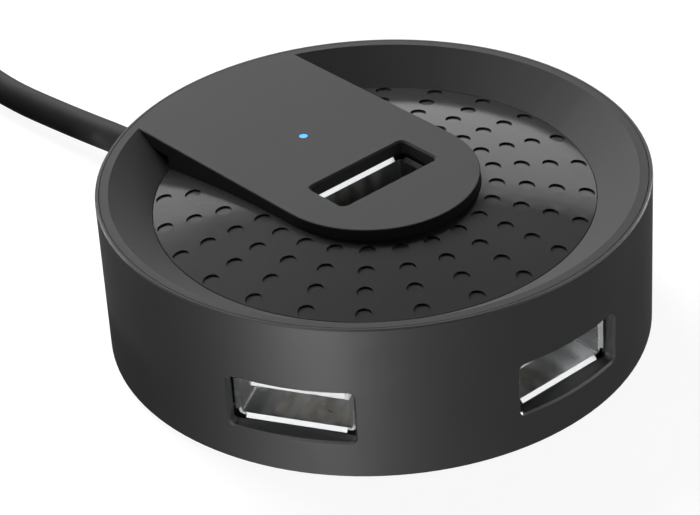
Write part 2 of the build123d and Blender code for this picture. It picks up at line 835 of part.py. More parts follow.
def bend_radii(points):
    """A radius for each corner of a route, as large as its shorter run allows."""
    radii = []
    for a, b, c in zip(points, points[1:], points[2:]):
        before, after = Vector(*b) - Vector(*a), Vector(*c) - Vector(*b)
        turn = radians(before.get_angle(after))
        radii.append(0.45 * min(before.length, after.length) / tan(turn / 2))
    return radii


def lead_tube(name, points):
    """A stretch of the lead's jacket along its route."""
    radii = bend_radii(points)
    route = FilletPolyline(*points, radius=radii)
    across = Plane(origin=route @ 0, z_dir=route % 0)
    tube = sweep(across * Circle(cable_diameter / 2), path=route)
    ratio = tube.volume / (route.length * pi * cable_diameter**2 / 4)
    shown = [round(r, 1) for r in radii]
    print(f"{name}: {route.length:.1f} mm, bend radii {shown}, volume ratio {ratio:.4f}")
    return tube


def usb_lead():
    """The jacket from inside the drum, down to the surface and along it to the coil."""
    return lead_tube("usb_lead", lead_points) - lead_coil()


def lead_tail():
    """The jacket from the coil's last turn down to the plug."""
    return lead_tube("lead_tail", tail_points) - lead_coil()


def lead_coil():
    """The put-away turns of the lead, as one ring of their outer shape."""
    ring = rod(2 * coil_outer_radius, tie_thickness, coil_top_z)
    ring -= rod(2 * coil_inner_radius, tie_thickness, coil_top_z)
    return Pos(coil_middle_x, coil_middle_y, 0) * ring


def coil_tie():
    """The strap round the coil's far side."""
    width = coil_outer_radius - coil_inner_radius
    middle = (coil_outer_radius + coil_inner_radius) / 2
    section = slab(tie_width, width + 2 * tie_thickness, 0, coil_top_z + tie_thickness)
    hole = slab(tie_width, width, tie_thickness, coil_top_z)
    band = Pos(coil_middle_x, coil_middle_y + middle, 0) * (section - hole)
    return band - lead_coil()


def cable_gland():
    """The moulded strain relief: a flange inside, a neck in the wall and a ribbed taper."""
    flange_y = sqrt(inner_radius**2 - (gland_flange_diameter / 2) ** 2)
    tip_y = drum_radius + gland_length
    collar_end = drum_radius + gland_collar
    half = gland_collar_diameter / 2
    taper = (half - gland_tip_diameter / 2) / (gland_length - gland_collar)
    outline = [
        (0, flange_y - gland_flange),
        (gland_flange_diameter / 2, flange_y - gland_flange),
        (gland_flange_diameter / 2, flange_y),
        (gland_neck_diameter / 2, flange_y),
        (gland_neck_diameter / 2, drum_radius),
        (half, drum_radius),
        (half, collar_end),
    ]
    pitch = (gland_length - gland_collar) / gland_ribs
    groove_length = pitch * gland_groove_share
    for i in range(gland_ribs):
        start = collar_end + i * pitch
        radius = half - taper * (i * pitch + pitch / 2)
        outline += [
            (radius - gland_groove, start),
            (radius - gland_groove, start + groove_length),
            (radius, start + groove_length),
            (radius - taper * (pitch - groove_length), start + pitch),
        ]
    outline += [(0, tip_y)]
    body = revolve(Plane.XY * Polygon(*outline, align=None), Axis.Y)
    body = Pos(0, 0, exit_height) * body
    bore = Pos(0, 0, exit_height) * bar_along_y(Circle(cable_diameter / 2), jacket_end_y, tip_y)
    return body - bore


def inner_wires():
    """The lead's four insulated cores, from the jacket's end to their pads on the board."""
    cores = []
    for i, pad_x in enumerate(core_pads):
        start_x = (-1 if i < 2 else 1) * core_spread
        start_z = exit_height + (core_spread if i % 2 else -core_spread)
        over_z = board_top_z + core_diameter / 2
        arch_z = max(start_z, over_z) + core_arch + core_stagger * i
        route = Spline(
            (start_x, jacket_end_y, start_z),
            ((start_x + pad_x) / 2, jacket_end_y - core_bend, arch_z),
            (pad_x, core_pad_y, over_z),
            tangents=[(0, -1, 0), (0, -1, 0)],
        )
        across = Plane(origin=route @ 0, z_dir=route % 0)
        cores.append(sweep(across * Circle(core_diameter / 2), path=route))
    return cores


# ---- Plug, drawn with its mouth on y = 0 facing -Y ----


def plug_place():
    """Lays the plug on the surface beside the coil."""
    return Pos(plug_x, plug_mouth_y, plug_z)


def plug_shell():
    """The plug's folded steel shell, with its two pairs of square windows."""
    length = plug_shell_length + plug_shell_root
    outer = RectangleRounded(plug_shell_width, plug_shell_height, plug_shell_corner)
    inner_corner = plug_shell_corner / 2
    inner = RectangleRounded(
        plug_shell_width - 2 * sheet, plug_shell_height - 2 * sheet, inner_corner
    )
    shell = bar_along_y(outer, 0, length) - bar_along_y(inner, 0, length)
    for x in plug_window_places:
        hole = Box(plug_window, plug_window, 2 * plug_shell_height)
        shell -= Pos(x, plug_window_y, 0) * hole
    return plug_place() * shell


def plug_insulator():
    """The moulded tray inside the plug's shell that the contacts lie on."""
    width = plug_shell_width - 2 * sheet - 2 * plug_insulator_clearance
    floor = -plug_shell_height / 2 + sheet + plug_insulator_clearance
    length = plug_shell_length + plug_shell_root
    tray = Pos(0, 0, (floor - plug_tray_top) / 2) * bar_along_y(
        Rectangle(width, -plug_tray_top - floor), plug_tray_recess, length
    )
    back = bar_along_y(Rectangle(width, -2 * floor), plug_shell_length, length)
    body = tray + back
    for piece in plug_contact_strips():
        body -= piece
    return plug_place() * body


def plug_contact_strips():
    """Four flat contacts, drawn at the plug's own origin."""
    end = plug_shell_length + plug_shell_root
    one = bar_along_y(Rectangle(contact_width, contact_sheet), plug_contact_recess, end)
    return [Pos(x, 0, -plug_tray_top - contact_sheet / 4) * one for x in contact_places]


def plug_contacts():
    """The plug's contacts where they lie."""
    return [plug_place() * piece for piece in plug_contact_strips()]


def plug_grip():
    """The moulded grip, with the ribbed taper that the lead comes out of."""
    start, end = plug_shell_length, plug_shell_length + grip_length
    block = bar_along_y(RectangleRounded(grip_width, grip_height, grip_corner), start, end)
    block = fillet(block.faces().sort_by(Axis.Y)[-1].edges(), grip_edge)
    block = fillet(block.faces().sort_by(Axis.Y)[0].edges(), grip_edge / 2)
    root, tip = relief_root_diameter / 2, relief_tip_diameter / 2
    outline = Polygon(
        (0, end - relief_overlap),
        (root, end - relief_overlap),
        (root, end),
        (tip, end + relief_length),
        (0, end + relief_length),
        align=None,
    )
    relief = revolve(Plane.XY * outline, Axis.Y)
    for i in range(relief_grooves):
        low = end + relief_groove_start + i * relief_groove_pitch
        high = low + relief_groove_width
        ring = Circle(grip_height / 2) - Circle(tip - relief_groove_depth)
        relief -= bar_along_y(ring, low, high)
    pocket = bar_along_y(
        RectangleRounded(plug_shell_width, plug_shell_height, plug_shell_corner),
        start,
        start + plug_shell_root,
    )
    return plug_place() * (block + relief - pocket)


# ---- Write every piece ----

write("outer_shell", outer_shell())
write("top_cover", top_cover())
write("dimpled_panel", dimpled_panel())
write("base_cover", base_cover())

for side, azimuth in side_azimuths.items():
    place = side_place(azimuth)
    contacts = socket_contacts(socket_depth, False)
    write(f"{side}_socket_shell", place * socket_shell(socket_depth, False))
    write(f"{side}_socket_insulator", place * socket_insulator(socket_depth, False))
    write(f"{side}_socket_contacts", Compound(children=[place * c for c in contacts]))

write("top_socket_shell", top_place() * socket_shell(top_socket_depth, True))
write("top_socket_insulator", top_place() * socket_insulator(top_socket_depth, True))
top_contacts = socket_contacts(top_socket_depth, True)
write("top_socket_contacts", Compound(children=[top_place() * c for c in top_contacts]))

write("main_board", main_board())
write("hub_chip", hub_chip())
write("crystal", crystal())
write("bulk_capacitor", bulk_capacitor())
write("supply_fuse", supply_fuse())
write("ceramic_capacitors", Compound(children=ceramic_capacitors()))
write("chip_resistors", Compound(children=chip_resistors()))
write("status_lamp", status_lamp())
write("light_pipe", light_pipe())

write("case_screws", Compound(children=case_screws()))
write("board_screws", Compound(children=board_screws()))
write("rubber_feet", Compound(children=rubber_feet()))

write("cable_gland", cable_gland())
write("inner_wires", Compound(children=inner_wires()))
write("usb_lead", usb_lead())
write("lead_coil", lead_coil())
write("lead_tail", lead_tail())
write("coil_tie", coil_tie())
write("plug_grip", plug_grip())
write("plug_shell", plug_shell())
write("plug_insulator", plug_insulator())
write("plug_contacts", Compound(children=plug_contacts()))
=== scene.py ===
"""The looks of a round four-socket USB hub: its finishes, its lead and a plain studio round it."""

import logging
from dataclasses import dataclass, field
from enum import Enum
from math import cos, pi, radians, sin
from typing import Any, Optional, Union

import bpy
from mathutils import Matrix, Vector


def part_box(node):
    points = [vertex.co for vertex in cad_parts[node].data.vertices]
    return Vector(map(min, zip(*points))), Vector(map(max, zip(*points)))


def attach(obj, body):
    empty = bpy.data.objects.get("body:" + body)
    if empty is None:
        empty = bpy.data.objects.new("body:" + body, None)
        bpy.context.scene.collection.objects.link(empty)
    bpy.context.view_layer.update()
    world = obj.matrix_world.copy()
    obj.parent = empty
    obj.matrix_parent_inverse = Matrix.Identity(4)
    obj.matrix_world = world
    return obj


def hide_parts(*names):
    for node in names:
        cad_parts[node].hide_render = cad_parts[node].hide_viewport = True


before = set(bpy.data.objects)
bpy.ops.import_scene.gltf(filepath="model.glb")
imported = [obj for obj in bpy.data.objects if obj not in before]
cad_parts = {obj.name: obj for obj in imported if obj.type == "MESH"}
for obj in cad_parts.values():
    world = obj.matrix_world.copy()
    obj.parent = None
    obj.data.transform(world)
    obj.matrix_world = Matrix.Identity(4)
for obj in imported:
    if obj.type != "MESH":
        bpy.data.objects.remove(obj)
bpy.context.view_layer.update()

log = logging.getLogger("usb_hub")

MM = 0.001
Colour = tuple[float, float, float]
Number = Union[float, "Value"]
SPECK_LIFT = 0.01  # how much paler the flecks in a black moulding are
LIGHT_HEIGHT = 0.01  # the lights face this far above the floor, in metres


class Stiffness(Enum):
    """How readily the lead bends."""

    LIMP = "limp"
    MEDIUM = "medium"
    STIFF = "stiff"


class Reach(Enum):
    """What a light reaches: everything, only matt surfaces, or only mirrored highlights."""

    ALL = "all"
    MATT = "matt"
    MIRROR = "mirror"


class Pattern(Enum):
    """The procedural textures that the finishes are made from."""

    NOISE = "ShaderNodeTexNoise"
    CELLS = "ShaderNodeTexVoronoi"
    BRICKS = "ShaderNodeTexBrick"


class Value:
    """A number in a shader. Arithmetic on it adds Math nodes."""

    def __init__(self, recipe: "Recipe", socket: bpy.types.NodeSocket) -> None:
        """Wraps a number socket.

        Args:
            recipe: the material that the socket belongs to.
            socket: the output that carries the number.
        """
        self.recipe = recipe
        self.socket = socket

    def math(self, operation: str, *others: Number, swap: bool = False) -> "Value":
        """One Math node that reads this number.

        Args:
            operation: the Math node's operation.
            others: the numbers after this one.
            swap: whether this number comes second.

        Returns:
            The node's result.
        """
        terms = [self, *others]
        if swap:
            terms = [others[0], self, *others[1:]]
        node = self.recipe.add("ShaderNodeMath", {"operation": operation}, dict(enumerate(terms)))
        return Value(self.recipe, node.outputs[0])

    def __add__(self, other: Number) -> "Value":
        """The sum."""
        return self.math("ADD", other)

    __radd__ = __add__

    def __sub__(self, other: Number) -> "Value":
        """This number less the other."""
        return self.math("SUBTRACT", other)

    def __rsub__(self, other: Number) -> "Value":
        """The other number less this."""
        return self.math("SUBTRACT", other, swap=True)

    def __mul__(self, other: Number) -> "Value":
        """The product."""
        return self.math("MULTIPLY", other)

    __rmul__ = __mul__

    def __gt__(self, other: Number) -> "Value":
        """One where this number is the greater, and nought elsewhere."""
        return self.math("GREATER_THAN", other)

    def over(self, low: float, high: float) -> "Value":
        """Nought up to low, one from high, and a smooth rise between.

        Args:
            low: where the rise starts.
            high: where it ends.

        Returns:
            The share, from nought to one.
        """
        node = self.recipe.add(
            "ShaderNodeMapRange",
            {"interpolation_type": "SMOOTHSTEP"},
            {"Value": self, "From Min": low, "From Max": high},
        )
        return Value(self.recipe, node.outputs["Result"])


class Recipe:
    """A material under construction, with the calls that its finishes share."""

    def __init__(self, name: str) -> None:
        """Starts an empty material.

        Args:
            name: the material's name.
        """
        self.material = bpy.data.materials.new(name)
        self.material.use_nodes = True
        self.tree = self.material.node_tree
        self.tree.nodes.clear()
        self.place = self.add("ShaderNodeTexCoord").outputs["Object"]

    def add(self, kind: str, settings: Optional[dict] = None, values: Optional[dict] = None) -> Any:
        """Adds one node.

        Args:
            kind: the node's type.
            settings: its properties, set before its sockets.
            values: what each input, by name or number, is set to or linked from.

        Returns:
            The node.
        """
        node = self.tree.nodes.new(kind)
        for name, setting in (settings or {}).items():
            setattr(node, name, setting)
        for name, value in (values or {}).items():
            if isinstance(value, Value):
                value = value.socket
            if isinstance(value, bpy.types.NodeSocket):
                self.tree.links.new(value, node.inputs[name])
            else:
                node.inputs[name].default_value = value
        return node

    def stretched(self, across: float, along: float, up: float, turn: float = 0.0) -> Any:
        """The place, turned about Z and scaled, so that a pattern runs long in one direction.

        Args:
            across: the scale along X.
            along: the scale along Y.
            up: the scale along Z.
            turn: the turn about Z, in degrees.

        Returns:
            The vector socket.
        """
        node = self.add(
            "ShaderNodeMapping",
            {"vector_type": "POINT"},
            {"Vector": self.place, "Scale": (across, along, up), "Rotation": (0, 0, radians(turn))},
        )
        return node.outputs[0]

    def noise(self, size: float, detail: float = 2.0, rough: float = 0.5, place: Any = None) -> Value:
        """Cloudy noise.

        Args:
            size: how large its lumps are, in metres.
            detail: how many finer layers lie on it.
            rough: how strong those layers are.
            place: the vector to read it at, if not the plain place.

        Returns:
            The noise, about a half.
        """
        node = self.add(
            Pattern.NOISE.value,
            values={"Vector": place or self.place, "Scale": 1 / size, "Detail": detail, "Roughness": rough},
        )
        return Value(self, node.outputs["Fac"])

    def cells(self, size: float) -> Value:
        """The distance to the nearest of scattered points.

        Args:
            size: how far apart the points are, in metres.

        Returns:
            The distance, from nought at a point.
        """
        node = self.add(Pattern.CELLS.value, values={"Vector": self.place, "Scale": 1 / size})
        return Value(self, node.outputs["Distance"])

    def axis(self, letter: str) -> Value:
        """One coordinate of the place, in metres."""
        return Value(self, self.add("ShaderNodeSeparateXYZ", values={0: self.place}).outputs[letter])

    def blend(self, share: Number, first: Any, second: Any) -> Any:
        """Two colours mixed.

        Args:
            share: how much of the second there is.
            first: the first colour.
            second: the second colour.

        Returns:
            The colour socket.
        """
        ends = [(*c, 1.0) if isinstance(c, tuple) else c for c in (first, second)]
        node = self.add("ShaderNodeMix", {"data_type": "RGBA"}, {0: share, 6: ends[0], 7: ends[1]})
        return node.outputs[2]

    def bump(self, height: Value, depth: float, strength: float = 1.0) -> Any:
        """A bumped normal.

        Args:
            height: the relief.
            depth: how deep a change of one is, in metres.
            strength: how much of it shows.

        Returns:
            The normal socket.
        """
        values = {"Height": height, "Distance": depth, "Strength": strength}
        return self.add("ShaderNodeBump", values=values).outputs[0]

    def shade(self, **values: Any) -> bpy.types.Material:
        """Finishes the material with one surface shader.

        Args:
            values: the shader's inputs, with _ for a space.

        Returns:
            The material.
        """
        given = {name.replace("_", " "): value for name, value in values.items()}
        for name in ("Base Color", "Emission Color"):
            if isinstance(given.get(name), tuple):
                given[name] = (*given[name], 1.0)
        shader = self.add("ShaderNodeBsdfPrincipled", values=given)
        self.add("ShaderNodeOutputMaterial", values={"Surface": shader.outputs[0]})
        return self.material


@dataclass(frozen=True)
class TexturedMoulding:
    """Moulded plastic with the fine spark-eroded texture of its tool."""

    name: str
    colour: Colour
    roughness: float = 0.45
    grain: float = 0.16 * MM
    relief: float = 0.006 * MM
    gloss: float = 0.5
    mottle: float = 0.08
    fleck: float = 1.9

    def make(self) -> bpy.types.Material:
        """Builds the material."""
        mix = Recipe(self.name)
        pits = mix.cells(self.grain)
        grit = mix.noise(self.grain * 0.6, 3.0, 0.65)
        cloud = mix.noise(9 * MM, 3.0)
        rubbed = mix.noise(3 * MM, 4.0, 0.6).over(0.52, 0.8)
        flecks = mix.noise(self.grain * 0.4, 1.0).over(0.62, 0.8)
        light = tuple(min(1.0, c * (1 + self.mottle) + 0.004) for c in self.colour)
        dark = tuple(c * (1 - self.mottle) for c in self.colour)
        tone = mix.blend(cloud * 0.6 + grit * 0.4, dark, light)
        pale = tuple(min(1.0, c * self.fleck + SPECK_LIFT) for c in self.colour)
        tone = mix.blend(flecks * 0.25, tone, pale)
        rough = cloud * 0.025 + grit * 0.08 - rubbed * 0.015 + (self.roughness - 0.053)
        return mix.shade(
            Base_Color=tone,
            Roughness=rough,
            Specular_IOR_Level=self.gloss,
            Normal=mix.bump(pits * 0.6 + grit * 0.4, self.relief),
        )


@dataclass(frozen=True)
class PolishedMoulding:
    """Plastic from a polished tool, with the faint swirls and dust that such a face collects."""

    name: str
    colour: Colour
    roughness: float = 0.09
    gloss: float = 0.5
    dust: Colour = (0.16, 0.16, 0.16)

    def make(self) -> bpy.types.Material:
        """Builds the material."""
        mix = Recipe(self.name)
        ripple = mix.noise(2.6 * MM, 2.0)
        swirl = mix.noise(0.9 * MM, 6.0, 0.7, mix.stretched(1.0, 0.12, 1.0, 35))
        motes = 1 - mix.cells(0.7 * MM).over(0.02, 0.07)
        smear = mix.noise(12 * MM, 4.0, 0.6).over(0.45, 0.75)
        tone = mix.blend(motes * 0.35, self.colour, self.dust)
        rough = smear * 0.05 + swirl.over(0.5, 0.75) * 0.06 + motes * 0.2 + self.roughness
        return mix.shade(
            Base_Color=tone,
            Roughness=rough,
            Specular_IOR_Level=self.gloss,
            Normal=mix.bump(ripple, 0.006 * MM, 0.7),
        )


@dataclass(frozen=True)
class PressedSteel:
    """Plated sheet steel with rolling lines along the strip and a few dull spots."""

    name: str
    colour: Colour = (0.6, 0.61, 0.62)
    roughness: float = 0.26
    turn: float = 0.0
    grain: float = 0.12 * MM

    def make(self) -> bpy.types.Material:
        """Builds the material."""
        mix = Recipe(self.name)
        lines = mix.noise(self.grain, 4.0, 0.6, mix.stretched(1.0, 0.06, 1.0, self.turn))
        cloud = mix.noise(1.8 * MM, 4.0, 0.6)
        spots = 1 - mix.cells(1.1 * MM).over(0.03, 0.09)
        dull = tuple(c * 0.82 for c in self.colour)
        tone = mix.blend(spots * 0.1 + cloud.over(0.5, 0.8) * 0.2, self.colour, dull)
        rough = lines * 0.06 + cloud * 0.06 + spots * 0.04 + (self.roughness - 0.06)
        return mix.shade(
            Base_Color=tone,
            Metallic=1.0,
            Roughness=rough,
            Normal=mix.bump(lines, 0.001 * MM, 0.3),
        )


@dataclass(frozen=True)
class WornPlating:
    """Gold plating that has rubbed through to nickel in places."""

    name: str
    gold: Colour = (0.2, 0.175, 0.13)
    nickel: Colour = (0.19, 0.19, 0.18)

    def make(self) -> bpy.types.Material:
        """Builds the material."""
        mix = Recipe(self.name)
        scrape = mix.noise(0.25 * MM, 2.0, 0.5, mix.stretched(1.0, 0.15, 1.0))
        cloud = mix.noise(1.2 * MM, 3.0)
        worn = (scrape * 0.3 + cloud * 0.7).over(0.45, 0.75)
        return mix.shade(
            Base_Color=mix.blend(worn, self.gold, self.nickel),
            Metallic=1.0,
            Roughness=cloud * 0.1 + worn * 0.08 + 0.2,
            Normal=mix.bump(scrape, 0.001 * MM, 0.4),
        )


@dataclass(frozen=True)
class SolderMask:
    """A board's lacquer over its tracks, with bare glass fibre at the sawn edge."""

    name: str
    lacquer: Colour = (0.012, 0.085, 0.035)
    track: Colour = (0.03, 0.16, 0.06)
    fibre: Colour = (0.42, 0.38, 0.22)
    underside: tuple[float, float] = (3.665 * MM, 3.72 * MM)  # heights where the lacquer gives way
    topside: tuple[float, float] = (5.2 * MM, 5.255 * MM)

    def make(self) -> bpy.types.Material:
        """Builds the material."""
        mix = Recipe(self.name)
        tracks = mix.add(
            Pattern.BRICKS.value,
            {"offset": 0.35, "squash": 1.0},
            {
                "Vector": mix.place,
                "Scale": 1 / (6 * MM),
                "Mortar Size": 0.06,
                "Mortar Smooth": 0.2,
                "Brick Width": 0.9,
                "Row Height": 0.22,
            },
        )
        copper = Value(mix, tracks.outputs["Fac"])
        weave = mix.cells(0.5 * MM)
        edge = mix.axis("Z").over(*self.topside)
        under = 1 - mix.axis("Z").over(*self.underside)
        coated = (edge + under).math("MINIMUM", 1.0)
        face = mix.blend(copper, self.lacquer, self.track)
        rough = weave * 0.2 + (1 - coated) * 0.4 + 0.22
        return mix.shade(
            Base_Color=mix.blend(coated, self.fibre, face),
            Roughness=rough,
            Normal=mix.bump(copper * coated + weave * 0.15, 0.03 * MM, 0.7),
        )


@dataclass(frozen=True)
class PlainPart:
    """A small moulded, drawn or fired part with its own grain and sheen."""

    name: str
    colour: Colour
    roughness: float = 0.5
    grain: float = 0.25 * MM
    relief: float = 0.01 * MM
    tint: float = 0.2

    def make(self) -> bpy.types.Material:
        """Builds the material."""
        mix = Recipe(self.name)
        grit = mix.noise(self.grain, 3.0, 0.6)
        cloud = mix.noise(self.grain * 9, 3.0)
        stain = cloud.over(0.5, 0.85)
        dark = tuple(c * (1 - 1.6 * self.tint) for c in self.colour)
        light = tuple(min(1.0, c * (1 + self.tint)) for c in self.colour)
        tone = mix.blend(stain * 0.5, mix.blend(grit, dark, light), dark)
        return mix.shade(
            Base_Color=tone,
            Roughness=grit * 0.12 + cloud * 0.12 + (self.roughness - 0.12),
            Normal=mix.bump(grit, self.relief),
        )


@dataclass(frozen=True)
class ScoredMetal:
    """Turned or drawn metal with fine scoring round its axis."""

    name: str
    colour: Colour
    roughness: float = 0.3
    grain: float = 0.1 * MM

    def make(self) -> bpy.types.Material:
        """Builds the material."""
        mix = Recipe(self.name)
        scoring = mix.noise(self.grain, 3.0, 0.6, mix.stretched(0.2, 0.2, 2.2))
        cloud = mix.noise(0.8 * MM, 4.0, 0.6)
        oil = cloud.over(0.48, 0.72)
        tone = mix.blend(oil * 0.6, self.colour, tuple(c * 0.6 for c in self.colour))
        return mix.shade(
            Base_Color=tone,
            Metallic=1.0,
            Roughness=scoring * 0.15 + oil * 0.12 + (self.roughness - 0.08),
            Normal=mix.bump(scoring, 0.004 * MM, 0.8),
        )


@dataclass(frozen=True)
class ExtrudedPvc:
    """The lead's jacket: matt, with faint die lines and a slight waver."""

    name: str
    colour: Colour = (0.012, 0.012, 0.013)
    roughness: float = 0.5

    def make(self) -> bpy.types.Material:
        """Builds the material."""
        mix = Recipe(self.name)
        skin = mix.noise(0.2 * MM, 3.0, 0.6)
        waver = mix.noise(2.2 * MM, 3.0)
        scuff = mix.noise(5 * MM, 5.0, 0.65).over(0.56, 0.72)
        light = tuple(c * 1.8 + 0.004 for c in self.colour)
        tone = mix.blend(waver * 0.5 + scuff * 0.4, self.colour, light)
        return mix.shade(
            Base_Color=tone,
            Roughness=skin * 0.12 + waver * 0.1 + scuff * 0.1 + (self.roughness - 0.12),
            Specular_IOR_Level=0.4,
            Normal=mix.bump(skin * 0.4 + waver, 0.02 * MM, 0.8),
        )


@dataclass(frozen=True)
class CoreColours:
    """The four cores' insulation: black, green, white and red from the low X side."""

    name: str
    colours: tuple[Colour, ...] = (
        (0.01, 0.01, 0.01),
        (0.01, 0.22, 0.05),
        (0.75, 0.75, 0.72),
        (0.5, 0.01, 0.01),
    )
    splits: tuple[float, ...] = (-1.7 * MM, 0.0, 1.7 * MM)

    def make(self) -> bpy.types.Material:
        """Builds the material."""
        mix = Recipe(self.name)
        across = mix.axis("X")
        tone: Any = self.colours[0]
        for split, colour in zip(self.splits, self.colours[1:]):
            tone = mix.blend(across > split, tone, colour)
        skin = mix.noise(0.3 * MM, 3.0)
        return mix.shade(
            Base_Color=mix.blend(skin * 0.25, tone, (0.03, 0.03, 0.03)),
            Roughness=skin * 0.2 + 0.3,
            Normal=mix.bump(skin, 0.01 * MM),
        )


@dataclass(frozen=True)
class GlowingPipe:
    """Clear plastic that carries the lamp's blue light to its tip."""

    name: str
    tint: Colour = (0.02, 0.22, 0.9)
    strength: float = 2.2

    def make(self) -> bpy.types.Material:
        """Builds the material."""
        mix = Recipe(self.name)
        haze = mix.noise(0.35 * MM, 3.0)
        tip = mix.axis("Z").over(12 * MM, 19 * MM)
        glow = mix.blend(haze * 0.35 + tip * 0.4, (0.0, 0.06, 0.45), self.tint)
        return mix.shade(
            Base_Color=mix.blend(haze, (0.05, 0.2, 0.5), (0.1, 0.35, 0.7)),
            Roughness=haze * 0.2 + 0.25,
            Emission_Color=glow,
            Emission_Strength=self.strength,
            Normal=mix.bump(haze, 0.01 * MM),
        )


@dataclass(frozen=True)
class StudioPaint:
    """The studio's floor and backdrop: pale paint with a faint roller texture."""

    name: str
    colour: Colour = (0.93, 0.93, 0.93)
    glow: float = 0.0

    def make(self) -> bpy.types.Material:
        """Builds the material."""
        mix = Recipe(self.name)
        stipple = mix.noise(1.5 * MM, 3.0)
        return mix.shade(
            Base_Color=mix.blend(stipple * 0.2, self.colour, tuple(c * 0.98 for c in self.colour)),
            Roughness=stipple * 0.1 + 0.8,
            Emission_Color=(1.0, 1.0, 1.0),
            Emission_Strength=self.glow,
            Specular_IOR_Level=0.0,
            Normal=mix.bump(stipple, 0.01 * MM, 0.3),
        )


def dress(node: str, material: bpy.types.Material) -> None:
    """Gives a CAD node its finish.

    Args:
        node: the node's name.
        material: the finish, for every one of its slots.
    """
    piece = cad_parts[node]
    for place in piece.material_slots:
        place.material = material
    log.info("dressed %s with %s", node, material.name)


@dataclass
class Housing:
    """The drum, its lid, the dimpled panel and the base."""

    drum: TexturedMoulding = TexturedMoulding("drum_plastic_finish", (0.026, 0.026, 0.0265), 0.34)
    lid: TexturedMoulding = TexturedMoulding("lid_plastic_finish", (0.05, 0.05, 0.05), 0.58, gloss=0.22)
    panel: PolishedMoulding = PolishedMoulding("panel_plastic_finish", (0.03, 0.03, 0.031), 0.14)
    base: TexturedMoulding = TexturedMoulding("base_plastic_finish", (0.03, 0.03, 0.031), 0.55)

    def build(self) -> None:
        """Dresses the four mouldings."""
        dress("outer_shell", self.drum.make())
        dress("top_cover", self.lid.make())
        dress("dimpled_panel", self.panel.make())
        dress("base_cover", self.base.make())


@dataclass
class Socket:
    """One socket: its folded shell, its insulator with the blade, and its contacts."""

    side: str
    turn: float
    insulator: bpy.types.Material
    contact: bpy.types.Material

    def build(self) -> None:
        """Dresses the three pieces, with the steel's rolling lines along the socket."""
        steel = PressedSteel(f"{self.side}_socket_steel", turn=-self.turn)
        dress(f"{self.side}_socket_shell", steel.make())
        dress(f"{self.side}_socket_insulator", self.insulator)
        dress(f"{self.side}_socket_contacts", self.contact)


@dataclass
class Board:
    """The board inside the drum and what is soldered to it."""

    finishes: dict[str, Any] = field(
        default_factory=lambda: {
            "main_board": SolderMask("board_lacquer"),
            "hub_chip": PlainPart("chip_epoxy", (0.018, 0.018, 0.02), 0.55, grain=0.08 * MM),
            "crystal": ScoredMetal("drawn_can", (0.72, 0.72, 0.7), 0.28),
            "bulk_capacitor": ScoredMetal("capacitor_can", (0.78, 0.78, 0.79), 0.3),
            "supply_fuse": PlainPart("fuse_green", (0.02, 0.16, 0.06), 0.45),
            "ceramic_capacitors": PlainPart("fired_ceramic", (0.32, 0.2, 0.1), 0.5),
            "chip_resistors": PlainPart("resistor_glaze", (0.02, 0.02, 0.024), 0.3),
            "status_lamp": PlainPart("lamp_resin", (0.6, 0.62, 0.62), 0.25),
            "light_pipe": GlowingPipe("light_pipe_glow"),
        }
    )

    def build(self) -> None:
        """Dresses the board's pieces."""
        for node, finish in self.finishes.items():
            dress(node, finish.make())


@dataclass
class Fixings:
    """The screws and the feet."""

    screw: ScoredMetal = ScoredMetal("screw_zinc", (0.62, 0.62, 0.6), 0.32)
    rubber: PlainPart = PlainPart(
        "foot_rubber_finish", (0.02, 0.02, 0.021), 0.8, grain=0.12 * MM, relief=0.02 * MM
    )

    def build(self) -> None:
        """Dresses the screws and feet."""
        zinc = self.screw.make()
        dress("case_screws", zinc)
        dress("board_screws", zinc)
        dress("rubber_feet", self.rubber.make())


